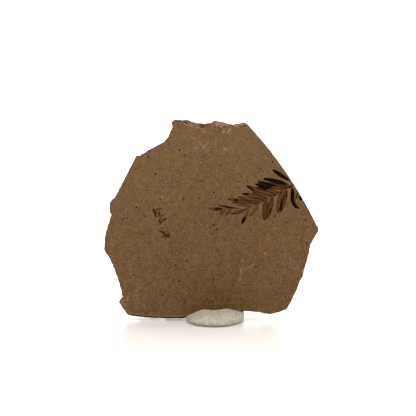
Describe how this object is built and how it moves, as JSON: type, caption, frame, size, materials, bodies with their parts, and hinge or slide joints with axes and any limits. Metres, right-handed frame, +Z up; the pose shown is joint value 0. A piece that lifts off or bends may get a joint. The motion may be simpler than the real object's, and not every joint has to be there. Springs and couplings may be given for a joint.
{
  "type": "fossil leaf plate",
  "caption": "Broken brown mudstone slab with a conifer sprig pressed into its front face, leaning slightly back with its lower edge held in a flattened lump of grey display putty.",
  "frame": {"origin": "centre of the overall bounding box, at the bottom, on the table under the putty", "axes": "+X to the right along the plate's width, -Y towards the viewer (the face with the sprig), +Z up"},
  "size_m": [0.1002, 0.0338, 0.0938],
  "materials": {
    "mudstone": "matt, fine-grained",
    "display_putty": "matt, finely grainy"
  },
  "bodies": {
    "root": {"fossil_plate": "mudstone", "putty_stand": "display_putty"}
  },
  "joints": []
}
